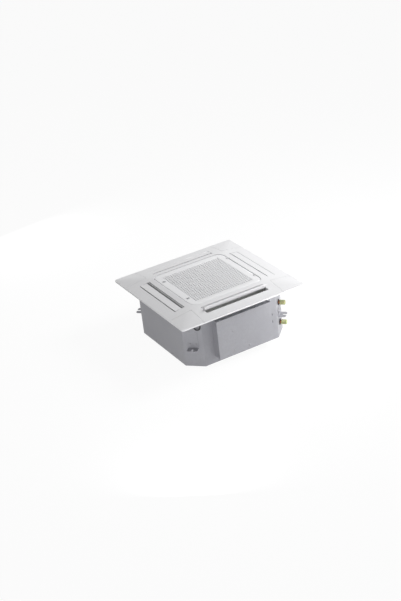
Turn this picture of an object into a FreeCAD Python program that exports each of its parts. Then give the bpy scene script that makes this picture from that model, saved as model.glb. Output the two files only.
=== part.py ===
import FreeCAD, Part
import math
import os

# Cassette fan coil unit for a 600 mm ceiling module, in millimetres.
# It lies as photographed: on its top plate, with the ceiling panel facing up.
# z = 0 is the outer face of the top plate, X and Y run along the panel's edges,
# the control box is on the -Y side and the water pipes leave at the +X -Y corner.

# Shared clearances and cutting allowance
overrun = 2.0
running_fit = 0.05
loose_fit = 0.4

# Casing sheet_thickness metal
casing_side = 575.0
casing_chamfer = 72.0
casing_height = 266.0
sheet_thickness = 1.2
casing_flange = 14.0
plate_flange = 16.0
emboss_radius = 150.0
emboss_slope = 14.0
emboss_height = 9.0
knockout_radius = 46.0
knockout_slit = 2.0
knockout_tab = 10.0
knockout_z = 118.0
casing_screw_offset = 86.0
liner_thickness = 8.0

# Fasteners
screw_head_radius = 4.5
screw_head_height = 2.4
screw_radius = 2.0
screw_length = 8.0

# Hanger brackets on the chamfered corners
bracket_thickness = 2.5
bracket_width = 52.0
bracket_height = 110.0
pipe_bracket_height = 40.0
bracket_length = 38.0
bracket_z = 102.0
bracket_round = 10.0
hanger_slot_width = 12.5
hanger_slot_depth = 20.0
bracket_screw_pitch = 30.0
bracket_screw_rise = 22.5

# Control box
box_width = 312.0
box_height = 207.0
box_depth = 46.0
box_z = 35.0
cover_lip = 12.0
box_screw_inset = 22.0
board_width = 150.0
board_height = 120.0
board_thickness = 1.6
board_standoff = 8.0
board_margin = 26.0
standoff_radius = 3.0
terminal_width = 90.0
terminal_height = 24.0
terminal_depth = 20.0
terminal_ways = 8
terminal_margin = 32.0
terminal_groove = 0.8
capacitor_radius = 17.0
capacitor_length = 62.0
part_gap = 14.0
gland_radius = 9.0
gland_neck = 6.5
gland_bore = 4.0
gland_length = 14.0
gland_pitch = 40.0
bush_radius = 14.0
bush_lip = 4.0

# Drain pan of moulded foam
pan_depth = 50.0
pan_edge = 15.5
duct_width = 46.0
pan_web = 10.0
trough_width = 50.0
trough_depth = 24.0
trough_round = 30.0
sump_reach = 40.0
sump_margin = 12.0

# Coil
coil_thickness = 38.0
coil_bend = 60.0
coil_foot = 14.0
coil_clear = 14.0
coil_end = 118.0
end_plate_thickness = 1.5
end_plate_lip = 2.0
tube_radius = 4.8
row_pitch = 20.0
bend_pitch = 24.0
bends_per_row = 4

# Water manifolds, their grommets and caps
header_radius = 8.0
header_overhang_length = 16.0
header_stub = 18.0
pipe_radius = 10.0
pipe_wall = 1.2
pipe_bend = 30.0
supply_z = 173.0
return_z = 61.0
pipe_reach = 34.0
grommet_lip = 3.5
grommet_thickness = 2.5
cap_wall = 2.0
cap_skirt = 24.0
cap_rib = 1.5
vent_radius = 4.0
vent_length = 14.0

# Fan and motor
damper_height = 6.0
damper_radius = 11.0
motor_radius = 62.0
motor_height = 58.0
motor_neck = 24.0
motor_neck_height = 8.0
motor_round = 8.0
lug_radius = 75.0
lug_thickness = 4.0
shaft_radius = 5.0
shaft_depth = 40.0
wheel_gap = 14.0
wheel_lift = 8.0
wheel_thickness = 2.5
blade_height = 82.0
blade_thickness = 2.0
blade_count = 7
blade_inner_radius = 92.0
blade_sweep = 52.0
eye_radius = 112.0
eye_lip = 12.0
shroud_drop = 12.0
hub_radius = 16.0
hub_height = 22.0
nut_radius = 9.0
nut_height = 7.0

# Inlet ring
throat_gap = 2.5
ring_wall = 1.6
ring_overlap = 7.0
ring_flare = 30.0
ring_flange = 12.0
flare_steps = 5

# Condensate pump, float switch and drain
pump_radius = 18.0
pump_height = 24.0
pump_place = 218.0
pump_foot_radius = 7.0
pump_foot_gap = 4.0
spigot_radius = 7.0
spigot_wall = 1.6
spigot_step = 1.0
spigot_offset = 14.0
spigot_reach = 25.0
spigot_seat = 40.0
shelf_thickness = 2.0
shelf_leg_width = 20.0
shelf_half_width = 30.0
stem_radius = 3.0
stem_head = 5.0
float_place = 190.0
float_radius = 9.0
float_height = 14.0
float_travel = 10.0

# Ceiling panel
panel_side = 700.0
panel_corner = 14.0
rim_height = 8.0
crown_rise = 20.0
crown_land = 5.0
panel_skin_thickness = 3.0
seal_thickness = 4.0
seal_inset = 2.0
base_lip = 10.0
base_thickness = 2.5
moulded_thickness = 2.5
slot_length = 356.0
inner_flare = 10.0
outer_flare = 20.0
rib_count = 5
rib_thickness = 2.0
corner_margin = 49.0
seam_width = 1.2
peg_radius = 4.0
peg_inset = 14.0
panel_screw_inset = 7.0

# Narrow vanes between the slot's inner edge and the flap
vane_inset = 7.5
vane_width = 12.5
vane_thickness = 2.4
vane_axis_depth = 4.0
vane_end_gap = 1.5
vane_pin_radius = 1.6
vane_boss_radius = 3.8
vane_open_deg = {"front": 90.0, "right": 0.0, "back": 0.0, "left": 90.0}

# Air flaps
flap_gap = 2.0
flap_edge_gap = 2.5
flap_axis_inset = 9.0
flap_axis_depth = 5.0
flap_recess = 1.0
flap_edge = 1.8
flap_belly = 3.2
flap_end_gap = 1.5
flap_pin_radius = 2.5
flap_boss_radius = 6.0
flap_boss_length = 3.5
flap_open_deg = {"front": 60.0, "right": 0.0, "back": 0.0, "left": 6.0}

# Intake grille
grille_margin = 31.0
grille_corner = 40.0
grille_seam_width = 2.5
grille_depth = 14.0
grille_thickness = 3.0
grille_round = 5.0
grille_band = 38.0
mesh_recess = 1.0
mesh_count = 14
mesh_bar = 7.0
intake_lip = 27.0
ledge_width = 7.0
ledge_gap = 1.6
hinge_inset = 4.0
hinge_depth = 3.0
hinge_offset = 130.0
hinge_width = 14.0
hinge_boss_radius = 3.0
hinge_pin_radius = 1.5
hinge_cheek = 5.0
hinge_cheek_depth = 10.0

# Grille latches
latch_offset = 119.0
latch_travel = 8.0
latch_tab = 8.0
latch_tab_width = 14.0
latch_thickness = 3.0
latch_width = 20.0
latch_gap = 0.5
latch_place = 6.5
latch_rail_width = 2.0
tongue_width = 10.0
tongue_back = 1.5

# Air filter under the grille
filter_margin = 3.0
filter_frame = 8.0
filter_thickness = 5.0
filter_mesh_thickness = 1.5
clip_width = 24.0
clip_thickness = 2.5
clip_offset = 90.0

# Lead between casing and panel: places in the front left corner's frame, outward, along, up
lead_radius = 3.2
lead_route = [(368.0, 12.0, 270.0), (368.0, 12.0, 210.0), (368.0, 48.0, 210.0),
              (368.0, 48.0, 248.0), (355.5, 48.0, 248.0)]
lead_bend_share = 0.45
lead_grommet_lip = 2.5

# Values worked out from the driving dimensions
casing_half = casing_side / 2
chamfer_distance = (casing_side - casing_chamfer) / math.sqrt(2)
flange_bottom = casing_height - sheet_thickness
pan_bottom = flange_bottom - pan_depth
duct_outer = casing_half - pan_edge
duct_inner = duct_outer - duct_width
trough_outer = duct_inner - pan_web
trough_inner = trough_outer - trough_width
trough_top = pan_bottom + trough_depth
coil_outer = (trough_outer + trough_inner + coil_thickness) / 2
coil_inner = coil_outer - coil_thickness
coil_centre = coil_outer - coil_thickness / 2
coil_top = trough_top - coil_clear
row_places = [coil_centre - row_pitch / 2, coil_centre + row_pitch / 2]
wheel_radius = coil_inner - wheel_gap
base_z = casing_height + seal_thickness
rim_top = base_z + rim_height
crown_top = rim_top + crown_rise
panel_half = panel_side / 2
slot_half = slot_length / 2
slot_inner = duct_inner + inner_flare
slot_outer = duct_outer + outer_flare
base_half = casing_half + base_lip
corner_edge = slot_half + corner_margin
grille_half = slot_inner - grille_margin
grille_hole = grille_half + grille_seam_width
crown_half = grille_hole + crown_land
crown_corner = grille_corner + grille_seam_width + crown_land
crown_fall = crown_rise / (panel_half - crown_half)
mesh_half = grille_half - grille_band
grille_bottom = crown_top - grille_depth
grille_inside = crown_top - grille_thickness
intake_half = grille_half - intake_lip
box_face = -casing_half - box_depth

origin = FreeCAD.Vector(0, 0, 0)
up = FreeCAD.Vector(0, 0, 1)
along_x = FreeCAD.Vector(1, 0, 0)
along_y = FreeCAD.Vector(0, 1, 0)
side_turn = {"right": 0, "back": 90, "left": 180, "front": 270}
corner_turn = {"back_right": 45, "back_left": 135, "front_left": 225, "front_right": 315}
pipe_corner = "front_right"
lead_corner = "front_left"


def vec(x, y, z):
    return FreeCAD.Vector(x, y, z)


def turned(shape, degrees):
    """A copy turned about the unit's vertical axis."""
    copy = shape.copy()
    copy.rotate(origin, up, degrees)
    return copy


def fused(shapes):
    """One solid from touching solids."""
    return shapes[0].multiFuse(shapes[1:]).removeSplitter()


def box(x0, x1, y0, y1, z0, z1):
    return Part.makeBox(x1 - x0, y1 - y0, z1 - z0, vec(x0, y0, z0))


def rod(radius, start, direction, length):
    return Part.makeCylinder(radius, length, start, direction)


def pipe(radius, wall, start, direction, length):
    """A straight round tube, open at both ends."""
    inner = rod(radius - wall, start - direction * overrun, direction, length + 2 * overrun)
    return rod(radius, start, direction, length).cut(inner)


def drilled(shape, tools):
    return shape.cut(Part.makeCompound(tools))


def octagon(inset, z):
    """Outline of the casing, drawn in by an inset."""
    half = casing_half - inset
    cut = casing_chamfer - inset * (2 - math.sqrt(2))
    near = half - cut
    points = [(half, -near), (half, near), (near, half), (-near, half),
              (-half, near), (-half, -near), (-near, -half), (near, -half)]
    corners = [vec(x, y, z) for x, y in points]
    return Part.makePolygon(corners + corners[:1])


def octagon_block(inset, z0, z1):
    return Part.Face(octagon(inset, z0)).extrude(up * (z1 - z0))


def octagon_ring(outer_inset, inner_inset, z0, z1):
    inner = octagon_block(inner_inset, z0 - overrun, z1 + overrun)
    return octagon_block(outer_inset, z0, z1).cut(inner)


def square(half, radius, z):
    """Outline of a square with rounded corners."""
    near = half - radius
    edges = []
    for quarter in range(4):
        turn = FreeCAD.Rotation(up, 90 * quarter)
        diagonal = near + radius / math.sqrt(2)
        start = turn.multVec(vec(half, -near, z))
        middle = turn.multVec(vec(half, near, z))
        arc_top = turn.multVec(vec(diagonal, diagonal, z))
        end = turn.multVec(vec(near, half, z))
        edges.append(Part.makeLine(start, middle))
        edges.append(Part.Arc(middle, arc_top, end).toShape())
    return Part.Wire(edges)


def square_block(half, radius, z0, z1):
    return Part.Face(square(half, radius, z0)).extrude(up * (z1 - z0))


def square_ring(outer, inner, outer_radius, inner_radius, z0, z1):
    hole = square_block(inner, inner_radius, z0 - overrun, z1 + overrun)
    return square_block(outer, outer_radius, z0, z1).cut(hole)


def revolved(profile):
    """A solid of revolution from (radius, z) points."""
    points = [vec(r, 0, z) for r, z in profile]
    face = Part.Face(Part.makePolygon(points + points[:1]))
    return face.revolve(origin, up, 360)


def side_prism(profile, half_length):
    """A profile of (outward, z) points drawn along the +X side."""
    points = [vec(u, -half_length, z) for u, z in profile]
    face = Part.Face(Part.makePolygon(points + points[:1]))
    return face.extrude(along_y * (2 * half_length))


def bent_tube(points, radius, bends):
    """A round solid along straight runs joined by tangent arcs, one radius for each inner point."""
    edges = []
    last = points[0]
    for before, corner, after, bend in zip(points, points[1:], points[2:], bends):
        back = (before - corner).normalize()
        ahead = (after - corner).normalize()
        half_turn = (math.pi - back.getAngle(ahead)) / 2
        reach = bend * math.tan(half_turn)
        start = corner + back * reach
        end = corner + ahead * reach
        centre_way = (back + ahead).normalize()
        middle = corner + centre_way * (bend / math.cos(half_turn) - bend)
        edges.append(Part.makeLine(last, start))
        edges.append(Part.Arc(start, middle, end).toShape())
        last = end
    edges.append(Part.makeLine(last, points[-1]))
    path = Part.Wire(edges)
    way = (points[1] - points[0]).normalize()
    section = Part.Wire(Part.makeCircle(radius, points[0], way))
    return path.makePipeShell([section], True, True)


def screw(place, direction):
    """A pan-head screw whose head sits on a face at the place and whose shank runs along the direction."""
    head = rod(screw_head_radius, place - direction * screw_head_height, direction, screw_head_height)
    shank = rod(screw_radius, place, direction, screw_length)
    return head.fuse(shank)


def screw_hole(place, direction):
    return rod(screw_radius, place - direction * overrun, direction, screw_length + overrun)


def polar(radius, degrees, z):
    angle = math.radians(degrees)
    return vec(radius * math.cos(angle), radius * math.sin(angle), z)


# Places that several pieces share
def casing_screw_places():
    """Where the top plate is screwed to the casing wall: place and inward direction."""
    places = []
    for turn in side_turn.values():
        for offset in (-casing_screw_offset, casing_screw_offset):
            rotation = FreeCAD.Rotation(up, turn)
            place = rotation.multVec(vec(casing_half, offset, plate_flange / 2))
            places.append((place, rotation.multVec(-along_x)))
    return places


def bracket_screw_places():
    """Hanger bracket screws: place on the bracket's face and inward direction."""
    places = []
    for name, turn in corner_turn.items():
        rotation = FreeCAD.Rotation(up, turn)
        heights = [bracket_screw_rise]
        if name != pipe_corner:
            heights.append(bracket_height - bracket_screw_rise)
        for height in heights:
            for offset in (-bracket_screw_pitch / 2, bracket_screw_pitch / 2):
                place = vec(chamfer_distance + bracket_thickness, offset, bracket_z + height)
                places.append((rotation.multVec(place), rotation.multVec(-along_x)))
    return places


def strap_height(name):
    """Height of a bracket's strap: short between the pipes, tall elsewhere."""
    return pipe_bracket_height if name == pipe_corner else bracket_height


def panel_screw_places():
    """Screws that hold the panel's base to the casing flange, one at each corner."""
    distance = chamfer_distance - panel_screw_inset
    top = base_z + base_thickness
    return [(polar(distance, turn, top), -up) for turn in corner_turn.values()]


def motor_foot_places(z):
    return [polar(lug_radius, 120 * foot, z) for foot in range(3)]


pipe_way = polar(1, corner_turn[pipe_corner], 0)
platform_top = emboss_height + sheet_thickness
motor_foot = platform_top + damper_height
motor_top = motor_foot + motor_height
wheel_bottom = motor_top + motor_neck_height + wheel_lift
blade_bottom = wheel_bottom + wheel_thickness
eye_bottom = blade_bottom + blade_height
rim_bottom = eye_bottom - shroud_drop
eye_top = eye_bottom + eye_lip
shelf_top = pan_bottom - pump_height - pump_foot_gap
spigot_z = shelf_top + pump_height / 2
spigot_y = -pump_place + spigot_offset
spigot_start = pump_place + spigot_seat


def casing_top_plate():
    floor = octagon_block(sheet_thickness, 0, sheet_thickness)
    edge = octagon_ring(sheet_thickness, 2 * sheet_thickness, sheet_thickness, plate_flange)
    foot_radius = emboss_radius + emboss_slope
    floor = floor.cut(rod(foot_radius, vec(0, 0, -overrun), up, sheet_thickness + 2 * overrun))
    platform = revolved([(foot_radius, 0), (emboss_radius, emboss_height), (0, emboss_height),
                         (0, platform_top), (emboss_radius, platform_top), (foot_radius, sheet_thickness)])
    plate = fused([floor, edge, platform])
    holes = [rod(screw_radius, place, up, sheet_thickness + 2 * overrun)
             for place in motor_foot_places(emboss_height - overrun)]
    holes += [screw_hole(place, way) for place, way in casing_screw_places()]
    return drilled(plate, holes)


def knockout(turn, offset):
    """Four curved slits that leave a round disc held by tabs, on one side of the casing."""
    start = vec(casing_half - sheet_thickness - overrun, offset, knockout_z)
    length = sheet_thickness + 2 * overrun
    ring = pipe(knockout_radius, knockout_slit, start, along_x, length)
    reach = knockout_radius + overrun
    tab = knockout_tab / 2
    x0 = start.x - overrun
    x1 = start.x + length + overrun
    upright = box(x0, x1, offset - tab, offset + tab, knockout_z - reach, knockout_z + reach)
    level = box(x0, x1, offset - reach, offset + reach, knockout_z - tab, knockout_z + tab)
    return turned(ring.cut(upright).cut(level), turn)


def pipe_holes():
    """Openings for the two grommets in the piping corner and for the drain spigot."""
    start = pipe_way * (chamfer_distance - liner_thickness - sheet_thickness - overrun)
    length = liner_thickness + sheet_thickness + 2 * overrun
    holes = [rod(pipe_radius + grommet_thickness, start + up * z, pipe_way, length)
             for z in (supply_z, return_z)]
    drain_start = vec(casing_half - liner_thickness - sheet_thickness - overrun, spigot_y, spigot_z)
    holes.append(rod(spigot_radius + running_fit, drain_start, along_x, length))
    return holes


def cable_hole():
    start = vec(0, -casing_half - overrun, box_z + box_height / 2)
    return rod(bush_radius, start, along_y, sheet_thickness + liner_thickness + 2 * overrun)


def lead_places():
    rotation = FreeCAD.Rotation(up, corner_turn[lead_corner])
    return [rotation.multVec(vec(*point)) for point in lead_route]


def lead_hole():
    end = lead_places()[-1]
    outward = polar(1, corner_turn[lead_corner], 0)
    return rod(lead_radius, end + outward * overrun, -outward, sheet_thickness + 2 * overrun)


def casing_wall():
    wall = octagon_ring(0, sheet_thickness, 0, casing_height)
    fold = octagon_ring(0, casing_flange, flange_bottom, casing_height)
    shell = fused([wall, fold])
    holes = [screw_hole(place, way) for place, way in casing_screw_places()]
    holes += [screw_hole(place, way) for place, way in bracket_screw_places()]
    holes += [screw_hole(place, way) for place, way in panel_screw_places()]
    holes += pipe_holes()
    holes += [cable_hole(), lead_hole()]
    holes += [knockout(side_turn["right"], knockout_radius), knockout(side_turn["back"], 0)]
    return drilled(shell, holes)


def insulation_liner():
    ring = octagon_ring(sheet_thickness, sheet_thickness + liner_thickness, plate_flange, pan_bottom)
    holes = [screw_hole(place, way) for place, way in bracket_screw_places()]
    return drilled(ring, holes + pipe_holes() + [cable_hole()])


def hanger_bracket(name):
    """A folded strap on the chamfered corner whose foot has an open slot for a hanging rod."""
    half = bracket_width / 2
    inner = chamfer_distance
    tip = inner + bracket_length
    strap = box(inner, inner + bracket_thickness, -half, half, bracket_z, bracket_z + strap_height(name))
    foot = box(inner, tip, -half, half, bracket_z, bracket_z + bracket_thickness)
    edges = [edge for edge in foot.Edges
             if edge.BoundBox.XMin > tip - running_fit and edge.BoundBox.ZLength > bracket_thickness / 2]
    foot = foot.makeFillet(bracket_round, edges)
    slot_end = tip - hanger_slot_depth + hanger_slot_width / 2
    z0 = bracket_z - overrun
    slot = rod(hanger_slot_width / 2, vec(slot_end, 0, z0), up, bracket_thickness + 2 * overrun)
    mouth = box(slot_end, tip + overrun, -hanger_slot_width / 2, hanger_slot_width / 2, z0,
                bracket_z + bracket_thickness + overrun)
    bracket = turned(fused([strap, foot]).cut(slot).cut(mouth), corner_turn[name])
    return drilled(bracket, [screw_hole(place, way) for place, way in bracket_screw_places()])


def control_box():
    half = box_width / 2
    top = box_z + box_height
    outer = box(-half, half, box_face, -casing_half, box_z, top)
    inner = box(-half + sheet_thickness, half - sheet_thickness,
                box_face - overrun, -casing_half - sheet_thickness,
                box_z + sheet_thickness, top - sheet_thickness)
    tray = outer.cut(inner)
    holes = [cable_hole()] + gland_holes() + [screw_hole(place, way) for place, way in box_screw_places()]
    return drilled(tray, holes)


def box_screw_places():
    """Cover screws, two on each of the box's long edges."""
    depth = box_face + cover_lip / 2
    outside = box_width / 2 + sheet_thickness
    middle = box_z + box_height / 2
    reach = box_height / 2 - box_screw_inset
    places = []
    for side in (-1, 1):
        for rise in (-reach, reach):
            places.append((vec(side * outside, depth, middle + rise), vec(-side, 0, 0)))
    return places


def gland_places():
    middle = box_z + box_height / 2
    depth = -casing_half - box_depth / 2
    return [vec(box_width / 2, depth, middle + rise) for rise in (-gland_pitch / 2, gland_pitch / 2)]


def gland_holes():
    return [rod(gland_neck, place - along_x * (sheet_thickness + overrun), along_x,
                sheet_thickness + 2 * overrun)
            for place in gland_places()]


def control_box_cover():
    half = box_width / 2
    top = box_z + box_height
    front = box_face - sheet_thickness
    outer = box(-half - sheet_thickness, half + sheet_thickness, front, box_face + cover_lip,
                box_z - sheet_thickness, top + sheet_thickness)
    inner = box(-half, half, box_face, box_face + cover_lip + overrun, box_z, top)
    return drilled(outer.cut(inner), [screw_hole(place, way) for place, way in box_screw_places()])


def control_board():
    """Printed board on four pillars, with a relay row and a connector."""
    x1 = box_width / 2 - board_margin
    x0 = x1 - board_width
    middle = box_z + box_height / 2
    z0 = middle - board_height / 2
    z1 = middle + board_height / 2
    back = -casing_half - sheet_thickness - board_standoff
    board = box(x0, x1, back - board_thickness, back, z0, z1)
    inset = 2 * standoff_radius
    pieces = [board]
    for x in (x0 + inset, x1 - inset):
        for z in (z0 + inset, z1 - inset):
            pieces.append(rod(standoff_radius, vec(x, back, z), along_y, board_standoff))
    front = back - board_thickness
    for place in range(3):
        x = x0 + part_gap + place * (terminal_height + part_gap)
        pieces.append(box(x, x + terminal_height, front - terminal_depth, front,
                          z1 - part_gap - terminal_height, z1 - part_gap))
    return fused(pieces)


def terminal_block():
    """A row of screw terminals standing on the back of the box."""
    x0 = -box_width / 2 + terminal_margin
    x1 = x0 + terminal_width
    back = -casing_half - sheet_thickness
    z0 = box_z + part_gap
    block = box(x0, x1, back - terminal_depth, back, z0, z0 + terminal_height)
    pitch = terminal_width / terminal_ways
    cuts = []
    for way in range(1, terminal_ways):
        x = x0 + way * pitch
        cuts.append(box(x - terminal_groove / 2, x + terminal_groove / 2,
                        back - terminal_depth - overrun, back - terminal_depth / 2,
                        z0 - overrun, z0 + terminal_height + overrun))
    for way in range(terminal_ways):
        place = vec(x0 + (way + 1 / 2) * pitch, back - terminal_depth, z0 + terminal_height / 2)
        cuts.append(rod(pitch / 4, place, along_y, terminal_depth / 4))
    return drilled(block, cuts)


def run_capacitor():
    x = box_width / 2 - board_margin - board_width - part_gap - capacitor_radius
    y = -casing_half - sheet_thickness - capacitor_radius
    z = box_z + 2 * part_gap + terminal_height
    can = rod(capacitor_radius, vec(x, y, z), up, capacitor_length)
    return can.makeChamfer(capacitor_radius / 8, [edge for edge in can.Edges if edge.Closed])


def cable_glands():
    glands = []
    for place in gland_places():
        body = rod(gland_radius, place, along_x, gland_length)
        neck = rod(gland_neck, place - along_x * (2 * sheet_thickness), along_x, 2 * sheet_thickness)
        bore = rod(gland_bore, place - along_x * (2 * sheet_thickness + overrun), along_x,
                   gland_length + 2 * sheet_thickness + 2 * overrun)
        glands.append(body.fuse(neck).cut(bore))
    return Part.makeCompound(glands)


def cable_bush():
    """Rubber bush where the motor leads pass from the casing into the box."""
    start = vec(0, -casing_half - sheet_thickness, box_z + box_height / 2)
    length = 2 * sheet_thickness + liner_thickness
    body = rod(bush_radius, start, along_y, length)
    lip = rod(bush_radius + bush_lip, start - along_y * bush_lip / 2, along_y, bush_lip / 2)
    bore = rod(bush_radius / 2, start - along_y * bush_lip, along_y, length + 2 * bush_lip)
    return body.fuse(lip).cut(bore)


def coil_fins():
    """Fin pack bent round three corners, open at the piping corner."""
    ring = square_ring(coil_outer, coil_inner, coil_bend, coil_bend - coil_thickness, coil_foot, coil_top)
    reach = coil_outer + overrun
    corner = box(coil_end, reach, -reach, -coil_end, coil_foot - overrun, coil_top + overrun)
    return ring.cut(corner)


def coil_end_plates():
    near = coil_inner - end_plate_lip
    far = coil_outer + end_plate_lip
    first = box(coil_end, coil_end + end_plate_thickness, -far, -near, sheet_thickness, coil_top)
    second = box(near, far, -coil_end - end_plate_thickness, -coil_end, sheet_thickness, coil_top)
    return Part.makeCompound([first, second])


def coil_levels():
    span = (2 * bends_per_row - 1) * bend_pitch
    middle = (coil_foot + coil_top) / 2
    return [middle - span / 2 + level * bend_pitch for level in range(2 * bends_per_row)]


def return_bends():
    """Copper U-bends of eight-sided section on the end plate beside the control box."""
    bends = []
    levels = coil_levels()
    radius = bend_pitch / 2
    x = coil_end + end_plate_thickness
    for row in row_places:
        for low in levels[::2]:
            centre = vec(x, -row, low + radius)
            corners = [vec(x, -row + spoke.x, low + spoke.y)
                       for spoke in (polar(tube_radius, 45 * side, 0) for side in range(8))]
            section = Part.Face(Part.makePolygon(corners + corners[:1]))
            bends.append(section.revolve(centre, -along_y, 180))
    return Part.makeCompound(bends)


def manifold(row, z):
    """Vertical header with stubs to one tube row, and the pipe that leaves through the chamfer."""
    levels = coil_levels()
    start = -coil_end - end_plate_thickness
    header_y = start - header_stub
    low = levels[0] - header_overhang_length
    length = levels[-1] - levels[0] + 2 * header_overhang_length
    pieces = [rod(header_radius, vec(row, header_y, low), up, length)]
    for level in levels[::2]:
        pieces.append(rod(tube_radius, vec(row, start, level), -along_y, header_stub))
    end = pipe_way * (chamfer_distance + pipe_reach)
    points = [vec(row, header_y, z), vec(row, -row, z), vec(end.x, end.y, z)]
    pieces.append(bent_tube(points, pipe_radius, [pipe_bend]))
    bore_start = vec(end.x, end.y, z) + pipe_way * overrun
    bore = rod(pipe_radius - pipe_wall, bore_start, -pipe_way, pipe_reach + overrun)
    return fused(pieces).cut(bore)


def air_vents():
    """Small brass bleed valves on top of the two headers."""
    levels = coil_levels()
    y = -coil_end - end_plate_thickness - header_stub
    top = levels[-1] + header_overhang_length
    return Part.makeCompound([rod(vent_radius, vec(row, y, top), up, vent_length) for row in row_places])


def pipe_grommets():
    """Rubber rings that seat the two pipes in the casing wall."""
    rings = []
    for z in (supply_z, return_z):
        start = pipe_way * (chamfer_distance - sheet_thickness) + up * z
        sleeve = rod(pipe_radius + grommet_thickness, start, pipe_way, sheet_thickness)
        lip = rod(pipe_radius + grommet_thickness + grommet_lip,
                  start + pipe_way * sheet_thickness, pipe_way,
                  grommet_thickness)
        bore = rod(pipe_radius, start - pipe_way * overrun, pipe_way,
                   sheet_thickness + grommet_thickness + 2 * overrun)
        rings.append(sleeve.fuse(lip).cut(bore))
    return Part.makeCompound(rings)


def pipe_caps():
    """Push-on dust caps with a grip rim, one on each pipe end."""
    inner = pipe_radius + running_fit
    outer = inner + cap_wall
    closed = chamfer_distance + pipe_reach
    caps = []
    for z in (supply_z, return_z):
        start = pipe_way * (closed - cap_skirt) + up * z
        body = rod(outer, start, pipe_way, cap_skirt + cap_wall)
        rim = rod(outer + cap_rib, start, pipe_way, cap_wall)
        bore = rod(inner, start - pipe_way * overrun, pipe_way, cap_skirt + overrun)
        caps.append(body.fuse(rim).cut(bore))
    return Part.makeCompound(caps)


def motor_dampers():
    discs = []
    for place in motor_foot_places(platform_top):
        disc = rod(damper_radius, place, up, damper_height)
        discs.append(disc.cut(rod(screw_radius, place - up * overrun, up, damper_height + 2 * overrun)))
    return Part.makeCompound(discs)


def fan_motor():
    """Motor shell with three mounting lugs and a necked upper bearing housing."""
    can = rod(motor_radius, vec(0, 0, motor_foot), up, motor_height)
    rims = [edge for edge in can.Edges if edge.Closed]
    can = can.makeChamfer(motor_round, rims)
    neck = rod(motor_neck, vec(0, 0, motor_top), up, motor_neck_height)
    pieces = [can, neck]
    for foot in range(3):
        lug = box(0, lug_radius, -damper_radius, damper_radius, motor_foot, motor_foot + lug_thickness)
        tip = rod(damper_radius, vec(lug_radius, 0, motor_foot), up, lug_thickness)
        pieces.append(turned(lug.fuse(tip), 120 * foot))
    bore_start = motor_top + motor_neck_height - shaft_depth
    bore = rod(shaft_radius + running_fit, vec(0, 0, bore_start - running_fit), up, shaft_depth + overrun)
    holes = [rod(screw_radius, place - up * overrun, up, lug_thickness + 2 * overrun)
             for place in motor_foot_places(motor_foot)]
    return drilled(fused(pieces), holes + [bore])


def motor_screws():
    """Long screws through the lugs and dampers into the top plate."""
    length = lug_thickness + damper_height + sheet_thickness
    screws = []
    for place in motor_foot_places(motor_foot + lug_thickness):
        head = rod(screw_head_radius, place, up, screw_head_height)
        screws.append(head.fuse(rod(screw_radius, place - up * length, up, length)))
    return Part.makeCompound(screws)


def fan_shaft():
    bottom = motor_top + motor_neck_height - shaft_depth
    top = wheel_bottom + hub_height + nut_height
    return rod(shaft_radius, vec(0, 0, bottom), up, top - bottom)


def fan_blade():
    """One backward-curved blade, standing on the wheel's plate."""
    inner = polar(blade_inner_radius, 0, blade_bottom)
    outer = polar(wheel_radius, -blade_sweep, blade_bottom)
    middle = polar((blade_inner_radius + wheel_radius) / 2, -blade_sweep * 2 / 5, blade_bottom)
    arc = Part.Arc(inner, middle, outer).toShape()
    edges = []
    for side in (-1, 1):
        points = []
        for end in (arc.FirstParameter, (arc.FirstParameter + arc.LastParameter) / 2, arc.LastParameter):
            normal = arc.tangentAt(end).cross(up)
            points.append(arc.valueAt(end) + normal * (side * blade_thickness / 2))
        edges.append(Part.Arc(*points).toShape())
    first, second = edges
    inside = Part.makeLine(first.valueAt(first.FirstParameter), second.valueAt(second.FirstParameter))
    outside = Part.makeLine(first.valueAt(first.LastParameter), second.valueAt(second.LastParameter))
    outline = Part.Wire(Part.__sortEdges__([first, outside, second, inside]))
    return Part.Face(outline).extrude(up * blade_height)


def fan_wheel():
    """Radial wheel: plate with hub, backward-curved blades and a coned shroud round the eye."""
    plate = rod(wheel_radius, vec(0, 0, wheel_bottom), up, wheel_thickness)
    hub = rod(hub_radius, vec(0, 0, wheel_bottom), up, hub_height)
    shroud = revolved([(wheel_radius, rim_bottom), (eye_radius, eye_bottom), (eye_radius, eye_top),
                       (eye_radius + wheel_thickness, eye_top),
                       (eye_radius + wheel_thickness, eye_bottom + wheel_thickness),
                       (wheel_radius, rim_bottom + wheel_thickness)])
    envelope = revolved([(0, blade_bottom), (wheel_radius, blade_bottom), (wheel_radius, rim_bottom),
                         (eye_radius, eye_bottom), (0, eye_bottom)])
    blade = fan_blade().common(envelope)
    blades = [turned(blade, 360 * place / blade_count) for place in range(blade_count)]
    bore = rod(shaft_radius, vec(0, 0, wheel_bottom - overrun), up, hub_height + 2 * overrun)
    return fused([plate, hub, shroud] + blades).cut(bore)


def fan_nut():
    z = wheel_bottom + hub_height
    corners = [polar(nut_radius, 60 * side, z) for side in range(6)]
    hexagon = Part.Face(Part.makePolygon(corners + corners[:1])).extrude(up * nut_height)
    return hexagon.cut(rod(shaft_radius, vec(0, 0, z - overrun), up, nut_height + 2 * overrun))


def inlet_ring():
    """Bell-mouthed ring from the pan's face down into the wheel's eye."""
    throat = eye_radius - throat_gap
    mouth = throat + ring_flare
    bend = flange_bottom - ring_flare
    rim = mouth + ring_flange
    inside = [(throat, eye_top - ring_overlap)]
    outside = [(throat + ring_wall, eye_top - ring_overlap)]
    for step in range(flare_steps + 1):
        angle = math.pi / 2 * step / flare_steps
        for side, radius in ((inside, ring_flare), (outside, ring_flare - ring_wall)):
            side.append((mouth - radius * math.cos(angle), bend + radius * math.sin(angle)))
    inside.append((rim, flange_bottom))
    outside.append((rim, flange_bottom - ring_wall))
    return revolved(inside + outside[::-1])


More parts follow.
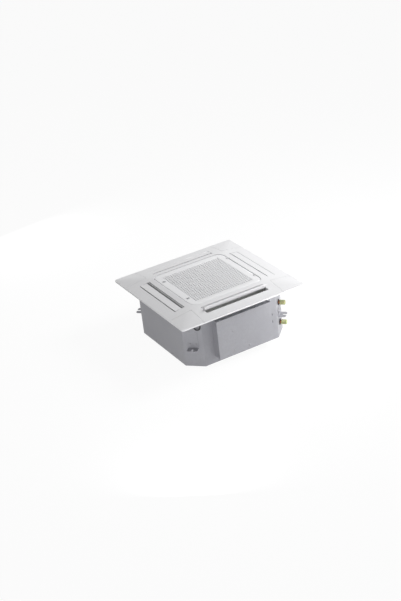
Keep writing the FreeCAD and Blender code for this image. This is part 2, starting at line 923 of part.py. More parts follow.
def drain_pan():
    """Foam tray with the intake bore, four outlet ducts, the coil's trough and the pump's sump."""
    block = octagon_block(sheet_thickness, pan_bottom, flange_bottom)
    mouth = eye_radius - throat_gap + ring_flare
    seat = mouth + ring_flange
    z0 = pan_bottom - overrun
    cuts = [rod(mouth, vec(0, 0, z0), up, pan_depth + 2 * overrun),
            rod(seat, vec(0, 0, flange_bottom - ring_wall), up, ring_wall + overrun)]
    for turn in side_turn.values():
        duct = box(duct_inner, duct_outer, -slot_half, slot_half, z0, flange_bottom + overrun)
        cuts.append(turned(duct, turn))
    cuts.append(square_ring(trough_outer, trough_inner, coil_bend, trough_round, z0, trough_top))
    far = pump_place + sump_margin
    near = pump_place - sump_reach
    cuts.append(box(near, far, -far, -near, z0, trough_top))
    cuts += [screw_hole(place, way) for place, way in panel_screw_places()]
    return drilled(block, cuts)


def pump_bracket():
    """Bent strap that stands on the top plate either side of the pipes and carries the pump."""
    diagonal = (pump_place + float_place) / math.sqrt(2)
    reach = pump_place - float_place
    shelf = box(diagonal - reach - shelf_leg_width / 2, diagonal + reach + shelf_leg_width / 2,
                -shelf_half_width, shelf_half_width, shelf_top - shelf_thickness, shelf_top)
    legs = []
    for side in (-1, 1):
        y0 = min(side * shelf_half_width, side * (shelf_half_width - shelf_thickness))
        legs.append(box(diagonal - shelf_leg_width / 2, diagonal + shelf_leg_width / 2,
                        y0, y0 + shelf_thickness,
                        sheet_thickness, shelf_top))
    return turned(fused([shelf] + legs), corner_turn[pipe_corner])


def condensate_pump():
    """Small centrifugal pump on its shelf, with a foot in the sump and an outlet nozzle."""
    centre = vec(pump_place, -pump_place, shelf_top)
    body = rod(pump_radius, centre, up, pump_height)
    foot = rod(pump_foot_radius, centre + up * pump_height, up, trough_depth)
    nozzle_start = vec(pump_place, spigot_y, spigot_z)
    nozzle = rod(spigot_radius, nozzle_start, along_x, spigot_seat)
    bore = rod(spigot_radius - spigot_wall, nozzle_start + along_x * pump_radius, along_x, spigot_seat)
    return fused([body, foot, nozzle]).cut(bore)


def drain_spigot():
    """Tube from the pump through the casing wall, stepped up outside for the drain hose."""
    start = vec(spigot_start, spigot_y, spigot_z)
    outside = vec(casing_half, spigot_y, spigot_z)
    inner = rod(spigot_radius, start, along_x, casing_half - spigot_start)
    stub = rod(spigot_radius + spigot_step, outside, along_x, spigot_reach)
    bore = rod(spigot_radius - spigot_wall, start - along_x * overrun, along_x,
               casing_half - spigot_start + spigot_reach + 2 * overrun)
    return inner.fuse(stub).cut(bore)


def float_switch():
    """Stem of the level switch, with end stops above and below the float."""
    base = vec(float_place, -float_place, shelf_top)
    low = pan_bottom - float_height
    stem_top = low + float_height + float_travel + loose_fit
    stem = rod(stem_radius, base, up, stem_top - shelf_top)
    post = rod(stem_head, base, up, low - loose_fit - shelf_top)
    stop = rod(stem_head, base + up * (stem_top - shelf_top), up, stem_radius)
    return fused([stem, post, stop])


def switch_float():
    base = vec(float_place, -float_place, pan_bottom - float_height)
    ring = rod(float_radius, base, up, float_height)
    return ring.cut(rod(stem_radius + loose_fit, base - up * overrun, up, float_height + 2 * overrun))


def panel_seal():
    ring = octagon_ring(seal_inset, casing_flange, casing_height, base_z)
    return drilled(ring, [screw_hole(place, way) for place, way in panel_screw_places()])


def panel_outer():
    """The panel's outside: an upright rim under a crown that slopes up to the grille on four sides."""
    rim = square_block(panel_half, panel_corner, base_z, rim_top)
    crown = Part.makeLoft([square(panel_half, panel_corner, rim_top),
                           square(crown_half, crown_corner, crown_top)], True, True)
    return fused([rim, crown])


def panel_inner():
    """The hollow under the skin."""
    inside = panel_half - panel_skin_thickness
    rim = square_block(inside, panel_corner, base_z - overrun, rim_top - panel_skin_thickness)
    crown = Part.makeLoft([square(inside, panel_corner, rim_top - panel_skin_thickness),
                           square(crown_half, crown_corner, crown_top - panel_skin_thickness)], True, True)
    return fused([rim, crown])


def crown_z(outward):
    """Height of the crown's slope at this distance from the middle."""
    return crown_top - (outward - crown_half) * crown_fall


def sloped(shape):
    """Lays a piece of the right side, drawn level with the crown's top, into the crown's slope."""
    shape.rotate(vec(crown_half, 0, crown_top), along_y, math.degrees(math.atan(crown_fall)))
    return shape


def corner_region(gap):
    """The square that a corner cover takes up at the back right, drawn in by a gap."""
    reach = panel_half + overrun
    near = corner_edge + gap
    return box(near, reach, near, reach, base_z - overrun, crown_top + overrun)


def duct_profile(wall):
    """Section of one air duct: leaning outward from the pan's duct to the slot in the crown."""
    return [(duct_inner - wall, base_z), (duct_outer + wall, base_z),
            (slot_outer + wall, crown_z(slot_outer + wall)), (slot_inner - wall, crown_z(slot_inner - wall))]


def duct_cut():
    """The duct's inside, run on past both ends."""
    foot_inner, foot_outer, top_outer, top_inner = duct_profile(0)
    below = base_z - overrun
    above = crown_top + overrun
    return [(duct_inner, below), (duct_outer, below), foot_outer, top_outer, (slot_outer, above),
            (slot_inner, above), top_inner, foot_inner]


def vane_axis_place():
    return slot_inner + vane_inset


def flap_axis_place():
    return vane_axis_place() + vane_width / 2 + flap_gap + flap_axis_inset


def blade_seats():
    """Pivots in a slot's ends: distance from the middle, depth, pin radius and boss radius."""
    return [(vane_axis_place(), vane_axis_depth, vane_pin_radius, vane_boss_radius),
            (flap_axis_place(), flap_axis_depth, flap_pin_radius, flap_boss_radius)]


def panel_frame():
    """One-piece moulding: skin, rim, sealing base, leaning ducts, pivots and the grille's well."""
    hollow = panel_inner()
    skin = panel_outer().cut(hollow)
    skin = drilled(skin, [turned(corner_region(0), turn) for turn in side_turn.values()])
    base = square_block(base_half, panel_corner, base_z, base_z + base_thickness)
    well = square_ring(grille_hole + moulded_thickness, grille_hole,
                       grille_corner + grille_seam_width + moulded_thickness,
                       grille_corner + grille_seam_width, base_z, crown_top)
    ledge_top = grille_bottom - ledge_gap
    ledge = square_ring(grille_hole + moulded_thickness / 2, grille_hole - ledge_width, grille_corner,
                        grille_corner - ledge_width, ledge_top - moulded_thickness, ledge_top)
    pieces = [skin, base, well, ledge]
    cuts = [square_block(grille_hole, grille_corner + grille_seam_width, ledge_top, crown_top + overrun),
            square_block(intake_half, grille_corner, base_z - overrun, ledge_top - moulded_thickness)]
    side_length = 2 * corner_edge
    rib_inner = base_half - moulded_thickness
    for turn in side_turn.values():
        collar = side_prism(duct_profile(moulded_thickness), slot_half + moulded_thickness)
        pieces.append(turned(collar, turn))
        cuts.append(turned(side_prism(duct_cut(), slot_half), turn))
        for rib in range(rib_count):
            y = -corner_edge + side_length * (rib + 1 / 2) / rib_count
            wall = box(rib_inner, panel_half, y - rib_thickness / 2, y + rib_thickness / 2,
                       base_z, crown_top)
            pieces.append(turned(wall.common(hollow), turn))
        for outward, depth, pin, seat in blade_seats():
            for end in (-1, 1):
                place = vec(outward, end * (slot_half + moulded_thickness / 2), crown_top - depth)
                boss = rod(seat, place, along_y * end, moulded_thickness / 2 + flap_boss_length)
                boss = boss.common(box(0, panel_half, -panel_half, panel_half, base_z, crown_top))
                pieces.append(turned(sloped(boss), turn))
                bore = rod(pin + running_fit, place - along_y * (end * moulded_thickness), along_y * end,
                           moulded_thickness * 2 + flap_boss_length)
                cuts.append(turned(sloped(bore), turn))
    frame = drilled(fused(pieces), cuts)
    additions = []
    for side in (-1, 1):
        y = side * hinge_offset
        x = grille_half - hinge_inset
        z = crown_top - hinge_depth
        post = box(x - hinge_boss_radius, x + hinge_boss_radius, y - hinge_width / 2, y + hinge_width / 2,
                   ledge_top - moulded_thickness, z)
        boss = rod(hinge_boss_radius, vec(x, y - hinge_width / 2, z), along_y, hinge_width)
        bore = rod(hinge_pin_radius + running_fit, vec(x, y - hinge_width, z), along_y, 2 * hinge_width)
        additions.append(post.fuse(boss).cut(bore))
    frame = fused([frame] + additions)
    holes = [screw_hole(place, way) for place, way in panel_screw_places()]
    for side in (-1, 1):
        y = side * latch_offset
        half = tongue_width / 2 + loose_fit
        holes.append(box(-grille_hole - moulded_thickness - overrun, -grille_hole + overrun,
                         y - half, y + half,
                         latch_bottom() - loose_fit, latch_bottom() + latch_thickness + loose_fit))
    return drilled(frame, holes)


def corner_cover(name):
    """Snap-on cover over a panel screw: its skin and two pegs that stand on the panel's base."""
    hollow = panel_inner()
    skin = panel_outer().cut(hollow)
    near = corner_edge + peg_inset
    far = base_half - peg_inset
    foot = base_z + base_thickness
    pegs = [rod(peg_radius, vec(x, y, foot), up, crown_top - foot).common(hollow)
            for x, y in ((near, far), (far, near))]
    cover = fused([skin.common(corner_region(seam_width))] + pegs)
    return turned(cover, corner_turn[name] - corner_turn["back_right"])


def panel_screws():
    return Part.makeCompound([screw(place, way) for place, way in panel_screw_places()])


def air_flap(name):
    """Aerofoil blade with a pivot rib and end pins, set at its photographed opening."""
    axis_u = flap_axis_place()
    axis_z = crown_top - flap_axis_depth
    inner = axis_u - flap_axis_inset
    outer = slot_outer - flap_edge_gap
    top = crown_top - flap_recess
    length = slot_half - flap_end_gap
    corner = [vec(inner, -length, top), vec(outer, -length, top), vec(outer, -length, top - flap_edge),
              vec(inner, -length, top - flap_edge)]
    belly = vec(axis_u, -length, axis_z - flap_belly)
    edges = [Part.makeLine(corner[0], corner[1]), Part.makeLine(corner[1], corner[2]),
             Part.Arc(corner[2], belly, corner[3]).toShape(), Part.makeLine(corner[3], corner[0])]
    blade = Part.Face(Part.Wire(edges)).extrude(along_y * (2 * length))
    pin_reach = slot_half + moulded_thickness + flap_boss_length
    pins = rod(flap_pin_radius, vec(axis_u, -pin_reach, axis_z), along_y, 2 * pin_reach)
    flap = fused([blade, pins])
    flap.rotate(vec(axis_u, 0, axis_z), -along_y, flap_open_deg[name])
    return turned(sloped(flap), side_turn[name])


def air_vane(name):
    """Narrow round-edged blade on its own pins, flat when closed and upright when open."""
    axis_u = vane_axis_place()
    axis_z = crown_top - vane_axis_depth
    length = slot_half - vane_end_gap
    blade = box(axis_u - vane_width / 2, axis_u + vane_width / 2, -length, length,
                axis_z - vane_thickness / 2, axis_z + vane_thickness / 2)
    blade = blade.makeFillet(vane_thickness / 3, [edge for edge in blade.Edges if edge.Length > length])
    pin_reach = slot_half + moulded_thickness + flap_boss_length
    pins = rod(vane_pin_radius, vec(axis_u, -pin_reach, axis_z), along_y, 2 * pin_reach)
    vane = fused([blade, pins])
    vane.rotate(vec(axis_u, 0, axis_z), -along_y, vane_open_deg[name])
    return turned(sloped(vane), side_turn[name])


def latch_bottom():
    return grille_inside - latch_gap - latch_thickness


def latch_tab_start():
    """Inner end of the thumb tab, at the unlocked place."""
    return -mesh_half - latch_place


def intake_grille():
    """Hinged square grille: rounded frame, perforated field, hinge pins, latch rails and clips."""
    shell = square_block(grille_half, grille_corner, grille_bottom, crown_top)
    top_edges = [edge for edge in shell.Edges
                 if edge.BoundBox.ZMin > crown_top - running_fit]
    shell = shell.makeFillet(grille_round, top_edges)
    inside = grille_half - grille_thickness
    shell = shell.cut(square_block(inside, grille_corner - grille_thickness, grille_bottom - overrun,
                                   grille_inside))
    field = square_block(mesh_half, grille_round, crown_top - mesh_recess, crown_top + overrun)
    cuts = [field]
    pieces = [shell]
    hinge_x = grille_half - hinge_inset
    hinge_z = crown_top - hinge_depth
    cheek_half = hinge_width / 2 + loose_fit + hinge_cheek
    pins = []
    for side in (-1, 1):
        y = side * hinge_offset
        cheek = box(hinge_x - 2 * hinge_boss_radius, grille_half - grille_thickness / 2, y - cheek_half,
                    y + cheek_half, crown_top - hinge_cheek_depth, grille_inside)
        pieces.append(cheek)
        pocket_half = hinge_width / 2 + loose_fit
        cuts.append(box(hinge_x - 2 * hinge_boss_radius - overrun, grille_half + overrun, y - pocket_half,
                        y + pocket_half, grille_bottom - overrun, crown_top + overrun))
        pins.append(rod(hinge_pin_radius, vec(hinge_x, y - pocket_half - hinge_cheek / 2, hinge_z), along_y,
                        2 * pocket_half + hinge_cheek))
        y = side * latch_offset
        rail = latch_width / 2 + loose_fit
        x0 = -inside
        x1 = latch_tab_start() + latch_place / 2
        for edge in (-1, 1):
            y0 = y + edge * rail
            y1 = y0 + edge * latch_rail_width
            pieces.append(box(x0, x1, min(y0, y1), max(y0, y1),
                              latch_bottom() - loose_fit - latch_rail_width, grille_inside))
            y2 = y0 - edge * latch_rail_width
            pieces.append(box(x0, x1, min(y1, y2), max(y1, y2),
                              latch_bottom() - loose_fit - latch_rail_width, latch_bottom() - loose_fit))
        tab_half = latch_tab_width / 2 + loose_fit
        slot_end = latch_tab_start() - latch_tab - latch_travel - loose_fit
        cuts.append(box(slot_end, latch_tab_start() + loose_fit, y - tab_half, y + tab_half,
                        grille_inside - overrun / 2, crown_top + overrun))
        half = tongue_width / 2 + loose_fit
        cuts.append(box(-grille_half - overrun, -inside + overrun, y - half, y + half,
                        latch_bottom() - loose_fit, latch_bottom() + latch_thickness + loose_fit))
        for place in (-clip_offset, clip_offset):
            pieces.append(filter_clip(place, side))
    pitch = 2 * mesh_half / mesh_count
    hole = pitch - mesh_bar
    for column in range(mesh_count):
        for row in range(mesh_count):
            x = -mesh_half + (column + 1 / 2) * pitch
            y = -mesh_half + (row + 1 / 2) * pitch
            cuts.append(box(x - hole / 2, x + hole / 2, y - hole / 2, y + hole / 2,
                            grille_inside - overrun, crown_top))
    return fused([drilled(fused(pieces), cuts)] + pins)


def filter_half():
    return mesh_half + filter_margin


def filter_top():
    return grille_inside - loose_fit


def filter_clip(x, side):
    """Hooked clip that holds one edge of the filter frame."""
    near = filter_half() + loose_fit
    far = near + clip_thickness
    low = filter_top() - filter_thickness - loose_fit
    y0 = min(side * near, side * far)
    post = box(x - clip_width / 2, x + clip_width / 2, y0, y0 + clip_thickness,
               low - clip_thickness, grille_inside)
    hook_in = near - clip_thickness
    y1 = min(side * hook_in, side * far)
    hook = box(x - clip_width / 2, x + clip_width / 2, y1, y1 + 2 * clip_thickness,
               low - clip_thickness, low)
    return post.fuse(hook)


def grille_latch(side):
    """Sliding catch: thumb tab in the grille's slot, plate under the skin, tongue towards the frame."""
    y = side * latch_offset
    low = latch_bottom()
    high = low + latch_thickness
    start = latch_tab_start()
    inside = grille_half - grille_thickness
    back = start + latch_place / 4
    tab = box(start - latch_tab, start, y - latch_tab_width / 2, y + latch_tab_width / 2, high,
              crown_top - mesh_recess)
    plate_end = -inside + latch_travel + loose_fit
    plate = box(plate_end, back, y - latch_width / 2, y + latch_width / 2, low, high)
    tongue = box(-inside + tongue_back, plate_end, y - tongue_width / 2, y + tongue_width / 2, low, high)
    return fused([tab, plate, tongue])


def air_filter_frame():
    outer = filter_half()
    top = filter_top()
    ring = square_ring(outer, outer - filter_frame, filter_frame / 2, filter_frame / 4,
                       top - filter_thickness, top)
    bar = box(-outer + filter_frame / 2, outer - filter_frame / 2, -filter_frame / 4, filter_frame / 4,
              top - filter_thickness, top - filter_thickness / 2 - filter_mesh_thickness / 2)
    return fused([ring, bar, turned(bar, 90)])


def air_filter_mesh():
    half = filter_half() - filter_frame
    middle = filter_top() - filter_thickness / 2
    return square_block(half, filter_frame / 4, middle - filter_mesh_thickness / 2,
                        middle + filter_mesh_thickness / 2)


def panel_lead():
    """Lead that hangs in a loop between the panel and the casing at the front left corner."""
    points = lead_places()
    runs = [(b - a).Length for a, b in zip(points, points[1:])]
    bends = []
    for before, corner, after, first, second in zip(points, points[1:], points[2:], runs, runs[1:]):
        half_turn = (math.pi - (before - corner).getAngle(after - corner)) / 2
        bends.append(lead_bend_share * min(first, second) / math.tan(half_turn))
    return bent_tube(points, lead_radius, bends)


def lead_grommet():
    outward = polar(1, corner_turn[lead_corner], 0)
    place = lead_places()[-1]
    start = outward * chamfer_distance + (place - outward * place.dot(outward))
    ring = rod(lead_radius + lead_grommet_lip, start, outward, lead_grommet_lip)
    return ring.cut(rod(lead_radius, start - outward * overrun, outward, lead_grommet_lip + 2 * overrun))


def screw_group(places):
    return Part.makeCompound([screw(place, way) for place, way in places])


pieces = {
    "casing_top_plate": casing_top_plate(),
    "casing_wall": casing_wall(),
    "casing_screws": screw_group(casing_screw_places()),
    "insulation_liner": insulation_liner(),
    "hanger_screws": screw_group(bracket_screw_places()),
    "control_box": control_box(),
    "control_box_cover": control_box_cover(),
    "cover_screws": screw_group(box_screw_places()),
    "control_board": control_board(),
    "terminal_block": terminal_block(),
    "run_capacitor": run_capacitor(),
    "cable_glands": cable_glands(),
    "cable_bush": cable_bush(),
    "coil_fins": coil_fins(),
    "coil_end_plates": coil_end_plates(),
    "return_bends": return_bends(),
    "supply_manifold": manifold(row_places[0], supply_z),
    "return_manifold": manifold(row_places[1], return_z),
    "air_vents": air_vents(),
    "pipe_grommets": pipe_grommets(),
    "pipe_caps": pipe_caps(),
    "motor_dampers": motor_dampers(),
    "fan_motor": fan_motor(),
    "motor_screws": motor_screws(),
    "fan_shaft": fan_shaft(),
    "fan_wheel": fan_wheel(),
    "fan_nut": fan_nut(),
    "inlet_ring": inlet_ring(),
    "drain_pan": drain_pan(),
    "pump_bracket": pump_bracket(),
    "condensate_pump": condensate_pump(),
    "drain_spigot": drain_spigot(),
    "float_switch": float_switch(),
    "switch_float": switch_float(),
    "panel_seal": panel_seal(),
    "panel_frame": panel_frame(),
    "panel_screws": panel_screws(),
    "intake_grille": intake_grille(),
    "grille_latch_front": grille_latch(-1),
    "grille_latch_back": grille_latch(1),
    "air_filter_frame": air_filter_frame(),
    "air_filter_mesh": air_filter_mesh(),
    "panel_lead": panel_lead(),
    "lead_grommet": lead_grommet(),
}
for corner_name in corner_turn:
    pieces["hanger_bracket_" + corner_name] = hanger_bracket(corner_name)
    pieces["corner_cover_" + corner_name] = corner_cover(corner_name)
for side_name in side_turn:
    pieces["air_flap_" + side_name] = air_flap(side_name)
    pieces["air_vane_" + side_name] = air_vane(side_name)

os.makedirs("parts", exist_ok=True)
for node, shape in pieces.items():
    shape.exportStep("parts/" + node + ".step")
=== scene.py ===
import bpy
import bmesh
import math
from mathutils import Matrix, Vector


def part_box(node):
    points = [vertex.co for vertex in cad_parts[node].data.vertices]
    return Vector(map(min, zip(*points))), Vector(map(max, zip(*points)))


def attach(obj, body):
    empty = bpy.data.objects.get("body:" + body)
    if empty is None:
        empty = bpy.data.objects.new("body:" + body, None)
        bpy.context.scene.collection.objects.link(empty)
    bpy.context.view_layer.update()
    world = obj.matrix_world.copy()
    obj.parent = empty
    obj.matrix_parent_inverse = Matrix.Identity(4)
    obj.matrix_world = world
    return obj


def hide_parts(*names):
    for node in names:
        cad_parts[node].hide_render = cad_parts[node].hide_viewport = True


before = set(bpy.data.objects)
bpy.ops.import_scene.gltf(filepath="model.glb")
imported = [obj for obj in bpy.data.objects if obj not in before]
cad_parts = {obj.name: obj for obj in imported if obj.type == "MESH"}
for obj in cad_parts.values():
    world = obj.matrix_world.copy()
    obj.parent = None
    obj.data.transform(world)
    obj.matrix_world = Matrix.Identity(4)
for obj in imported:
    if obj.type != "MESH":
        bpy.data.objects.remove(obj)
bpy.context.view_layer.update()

# Casing: an eight-sided wall of galvanised sheet, folded and closed, and a pressed top plate.
# The plate is screwed into the wall's foot, and the unit lies on it in the photograph.


def linear(code):
    """Linear colour of an sRGB hex value."""
    parts = [int(code[i:i + 2], 16) / 255 for i in (1, 3, 5)]
    return [c / 12.92 if c <= 0.04045 else ((c + 0.055) / 1.055) ** 2.4 for c in parts] + [1.0]


def add(tree, kind, sockets=None, feeds=None, **settings):
    """A node with its settings. A socket takes a value or another node's output.
    The node's first output goes into the socket that it feeds."""
    node = tree.nodes.new(kind)
    for key, value in settings.items():
        setattr(node, key, value)
    for key, value in (sockets or {}).items():
        if isinstance(value, bpy.types.NodeSocket):
            tree.links.new(value, node.inputs[key])
        else:
            node.inputs[key].default_value = value
    if feeds:
        tree.links.new(node.outputs[0], feeds)
    return node


def surface(name, **sockets):
    """A new material. Gives it, its tree, its shader's sockets and a place in metres for patterns."""
    material = bpy.data.materials.new(name)
    material.use_nodes = True
    tree = material.node_tree
    inputs = tree.nodes["Principled BSDF"].inputs
    for key, value in sockets.items():
        inputs[key.replace("_", " ")].default_value = value
    return material, tree, inputs, add(tree, "ShaderNodeTexCoord").outputs["Object"]


def per_mm(size):
    """Pattern scale for a feature of this size in millimetres."""
    return 1000.0 / size


def dress(material, *nodes):
    """The finish of a solid whose shape stays as it is."""
    for node in nodes:
        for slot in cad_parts[node].material_slots:
            slot.material = material


# Hot-dip zinc sets in a faint mosaic of crystals and dulls to blue-grey, so little of it shines as metal.
# Handling leaves broad soft smudges, and the thin sheet isn't quite flat.
galvanised, tree, inputs, place = surface("galvanised_sheet", Metallic=0.25)
spangle = add(tree, "ShaderNodeTexVoronoi", {"Vector": place, "Scale": per_mm(9.0)}).outputs["Color"]
grain = add(tree, "ShaderNodeSeparateColor", {"Color": spangle}).outputs["Red"]
smudge = add(tree, "ShaderNodeTexNoise",
             {"Vector": place, "Scale": per_mm(160.0), "Detail": 3.0}).outputs["Fac"]
crystals = add(tree, "ShaderNodeMixRGB",
               {"Fac": grain, "Color1": linear("#9F9FA3"), "Color2": linear("#A9A9AE")}).outputs["Color"]
add(tree, "ShaderNodeMixRGB", {"Fac": smudge, "Color1": crystals, "Color2": linear("#98989E")},
    inputs["Base Color"])
add(tree, "ShaderNodeMapRange", {"Value": grain, "To Min": 0.4, "To Max": 0.52}, inputs["Roughness"])
add(tree, "ShaderNodeBump", {"Height": smudge, "Strength": 0.08, "Distance": 0.002}, inputs["Normal"])
dress(galvanised, "casing_wall", "casing_top_plate")

# Screws: pan heads of zinc-plated steel, turned in round the foot of the wall and on the brackets,
# the control box, the panel and the motor. The fan's nut has the same plating.

# Zinc plate is brighter and smoother than the sheet.
# The fine marks of the tool are drawn coarser than they are, to show.
zinc, tree, inputs, place = surface("zinc_plate", Metallic=1.0)
marks = add(tree, "ShaderNodeTexNoise",
            {"Vector": place, "Scale": per_mm(1.2), "Detail": 2.0}).outputs["Fac"]
add(tree, "ShaderNodeMixRGB", {"Fac": marks, "Color1": linear("#8C8C90"), "Color2": linear("#B4B4B8")},
    inputs["Base Color"])
add(tree, "ShaderNodeMapRange", {"Value": marks, "To Min": 0.25, "To Max": 0.45}, inputs["Roughness"])
dress(zinc, "casing_screws", "hanger_screws", "cover_screws", "panel_screws", "motor_screws", "fan_nut")

# Hanger brackets: thick straps of galvanised sheet, folded and screwed to the four chamfered corners.
# Each has a foot with an open slot for the hanging rod.
dress(galvanised, "hanger_bracket_back_right", "hanger_bracket_back_left", "hanger_bracket_front_left",
      "hanger_bracket_front_right")

# Liner and seal: closed-cell polyethylene foam, cut with a knife, which leaves its edges soft.
# The dark liner is glued inside the wall. The pale seal lies between the casing and the panel.
weld = 1e-6
flat_angle = 2.0
fold_angle = 35.0


def placed(name, data):
    """A new object in the scene."""
    thing = bpy.data.objects.new(name, data)
    bpy.context.scene.collection.objects.link(thing)
    return thing


def shaped(form, name, material, sharp_angle=180.0):
    """A piece from a finished form, shaded smooth across folds up to the sharp angle in degrees."""
    mesh = bpy.data.meshes.new(name)
    form.to_mesh(mesh)
    form.free()
    mesh.shade_smooth()
    mesh.set_sharp_from_angle(angle=math.radians(sharp_angle))
    mesh.materials.append(material)
    return placed(name, mesh)


def softened(node, name, material, rounding, chosen=lambda edge: True, rows=2):
    """A copy of a solid with its edges, or only the chosen ones, rounded. It takes the solid's place."""
    form = bmesh.new()
    form.from_mesh(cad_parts[node].data)
    bmesh.ops.remove_doubles(form, verts=form.verts, dist=weld)
    bmesh.ops.dissolve_limit(form, angle_limit=math.radians(flat_angle), verts=form.verts, edges=form.edges)
    corners = [edge for edge in form.edges
               if edge.is_manifold and edge.calc_face_angle() > math.radians(fold_angle) and chosen(edge)]
    bmesh.ops.bevel(form, geom=corners, offset=rounding, segments=rows, profile=0.5, affect="EDGES",
                    clamp_overlap=True)
    piece = shaped(form, name, material, fold_angle)
    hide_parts(node)
    return piece


def closed_cell_foam(name, skin, cell):
    """Foam sheet: a matt skin pitted by the cells under it, drawn larger than they are, to show."""
    material, tree, inputs, place = surface(name, Roughness=0.9)
    cells = add(tree, "ShaderNodeTexVoronoi", {"Vector": place, "Scale": per_mm(2.2)}).outputs["Distance"]
    add(tree, "ShaderNodeMixRGB", {"Fac": cells, "Color1": linear(skin), "Color2": linear(cell)},
        inputs["Base Color"])
    add(tree, "ShaderNodeBump", {"Height": cells, "Strength": 0.4, "Distance": 0.0006}, inputs["Normal"])
    return material


for node, slot, rounding, skin, cell in (("insulation_liner", "liner_foam", 0.0015, "#2E2F31", "#45464A"),
                                         ("panel_seal", "seal_foam", 0.001, "#B4B5B8", "#C6C7CA")):
    foam = softened(node, node + "_foam", closed_cell_foam(slot, skin, cell), rounding)
    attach(foam, "casing")

# Rubber pieces: dampers under the motor, grommets round the pipes and bushes round the leads.
# They are moulded in black rubber and pushed into place.

# A pale bloom on black rubber makes it matt and slightly uneven.
rubber, tree, inputs, place = surface("moulded_rubber")
bloom = add(tree, "ShaderNodeTexNoise",
            {"Vector": place, "Scale": per_mm(6.0), "Detail": 4.0}).outputs["Fac"]
add(tree, "ShaderNodeMixRGB", {"Fac": bloom, "Color1": linear("#1B1B1C"), "Color2": linear("#2B2B2D")},
    inputs["Base Color"])
add(tree, "ShaderNodeMapRange", {"Value": bloom, "To Min": 0.55, "To Max": 0.8}, inputs["Roughness"])
add(tree, "ShaderNodeBump", {"Height": bloom, "Strength": 0.12, "Distance": 0.0003}, inputs["Normal"])
dress(rubber, "motor_dampers", "pipe_grommets", "cable_bush", "lead_grommet")

# Motor: a pressed steel shell, sprayed with dark enamel, on rubber dampers and screwed to the top plate.
# Its shaft is ground steel and carries the fan wheel.

# Sprayed enamel dries with a faint orange peel under an even gloss.
enamel, tree, inputs, place = surface("stoved_enamel", Roughness=0.35, Coat_Weight=0.2)
peel = add(tree, "ShaderNodeTexNoise",
           {"Vector": place, "Scale": per_mm(2.5), "Detail": 2.0}).outputs["Fac"]
add(tree, "ShaderNodeMixRGB", {"Fac": peel, "Color1": linear("#3A3B3F"), "Color2": linear("#4A4B50")},
    inputs["Base Color"])
add(tree, "ShaderNodeBump", {"Height": peel, "Strength": 0.12, "Distance": 0.0004}, inputs["Normal"])
dress(enamel, "fan_motor")

# Grinding leaves fine rings round the shaft, drawn coarser than they are, to show.
# The wave node's straight bands repeat 20 / (2 pi) times in a unit, so its scale is set by their turn.
wave_turn = 2 * math.pi / 20
ground_steel, tree, inputs, place = surface("ground_steel", Metallic=1.0)
rings_scale = per_mm(1.0) * wave_turn
lines = add(tree, "ShaderNodeTexWave", {"Vector": place, "Scale": rings_scale, "Distortion": 1.0},
            bands_direction="Z").outputs["Fac"]
add(tree, "ShaderNodeMixRGB", {"Fac": lines, "Color1": linear("#A8A8AA"), "Color2": linear("#C6C6C8")},
    inputs["Base Color"])
add(tree, "ShaderNodeMapRange", {"Value": lines, "To Min": 0.2, "To Max": 0.32}, inputs["Roughness"])
dress(ground_steel, "fan_shaft")

# Fan wheel and inlet ring: injection-moulded in dark glass-filled plastic, as the pump and the glands are.
# The nut clamps the wheel on the shaft, and the ring leads the air into it.

# Glass fibres near the skin give a faint fleck, drawn larger than it is, and take the edge off the gloss.
dark_plastic, tree, inputs, place = surface("glass_filled_plastic")
flecks = add(tree, "ShaderNodeTexNoise",
             {"Vector": place, "Scale": per_mm(1.5), "Detail": 5.0}).outputs["Fac"]
add(tree, "ShaderNodeMixRGB", {"Fac": flecks, "Color1": linear("#2A2B2D"), "Color2": linear("#3F4043")},
    inputs["Base Color"])
add(tree, "ShaderNodeMapRange", {"Value": flecks, "To Min": 0.4, "To Max": 0.6}, inputs["Roughness"])
add(tree, "ShaderNodeBump", {"Height": flecks, "Strength": 0.1, "Distance": 0.0002}, inputs["Normal"])
dress(dark_plastic, "fan_wheel", "inlet_ring", "condensate_pump", "cable_glands")

# Coil: thin aluminium fins pressed on copper tubes and bent round the fan, between galvanised end plates.
# Return bends and two manifolds are brazed to the tubes. The vent valves on the manifolds are turned brass.
# The pump's bracket is a bent strap of the end plates' sheet.

# Rolled aluminium is bright with a thin uneven film. The fins' pitch is drawn wider than it is, to show.
# They stand upright all round, so the height is left out of the pattern.
# The wave node's diagonal bands repeat half as often as its straight ones.
fin_pitch = 3.0
fins_scale = per_mm(fin_pitch) * 2 * wave_turn
aluminium, tree, inputs, place = surface("aluminium_fin", Metallic=1.0)
film = add(tree, "ShaderNodeTexNoise",
           {"Vector": place, "Scale": per_mm(30.0), "Detail": 3.0}).outputs["Fac"]
add(tree, "ShaderNodeMixRGB", {"Fac": film, "Color1": linear("#B9BCC2"), "Color2": linear("#D5D7DA")},
    inputs["Base Color"])
add(tree, "ShaderNodeMapRange", {"Value": film, "To Min": 0.28, "To Max": 0.45}, inputs["Roughness"])
around = add(tree, "ShaderNodeVectorMath", {0: place, 1: (1.0, 1.0, 0.0)}, operation="MULTIPLY").outputs[0]
fins = add(tree, "ShaderNodeTexWave", {"Vector": around, "Scale": fins_scale},
           bands_direction="DIAGONAL").outputs["Fac"]
add(tree, "ShaderNodeBump", {"Height": fins, "Strength": 1.0, "Distance": 0.001}, inputs["Normal"])
dress(aluminium, "coil_fins")
dress(galvanised, "coil_end_plates", "pump_bracket")

